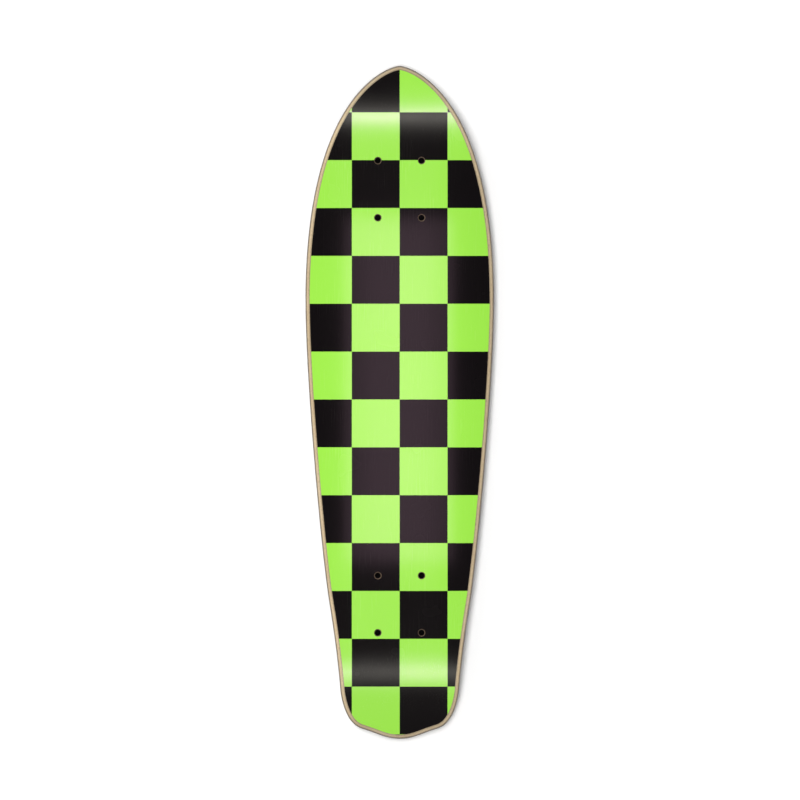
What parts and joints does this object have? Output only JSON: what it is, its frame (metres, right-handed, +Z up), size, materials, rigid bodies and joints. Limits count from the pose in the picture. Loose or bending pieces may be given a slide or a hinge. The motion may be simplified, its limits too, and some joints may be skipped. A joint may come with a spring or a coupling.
{
  "type": "skateboard deck",
  "caption": "Bare cruiser skateboard deck: pressed maple veneers with a kicked nose and tail, drilled for trucks, with a checkered printed underside and a black grip-taped riding side.",
  "frame": {"origin": "on the floor under the middle of the deck's box, with the deck lying graphic side up on its nose tip and its tail", "axes": "+Y towards the nose, +Z up out of the graphic (truck) side, +X across the deck; the riding side with the grip tape faces -Z"},
  "size_m": [0.178, 0.636, 0.0329],
  "materials": {
    "printed_film": "bright green and black checks, satin gloss",
    "maple_long_grain": "sanded pale maple, grain along the deck",
    "maple_cross_grain": "sanded maple, grain across the deck, so its rails show end grain",
    "grip_tape": "black grit, matte"
  },
  "bodies": {
    "root": {"printed_film": "printed_film", "bottom_face_veneer": "maple_long_grain", "lower_long_veneer": "maple_long_grain", "lower_cross_veneer": "maple_cross_grain", "core_veneer": "maple_long_grain", "upper_cross_veneer": "maple_cross_grain", "upper_long_veneer": "maple_long_grain", "top_face_veneer": "maple_long_grain", "grip_tape": "grip_tape"}
  },
  "joints": []
}
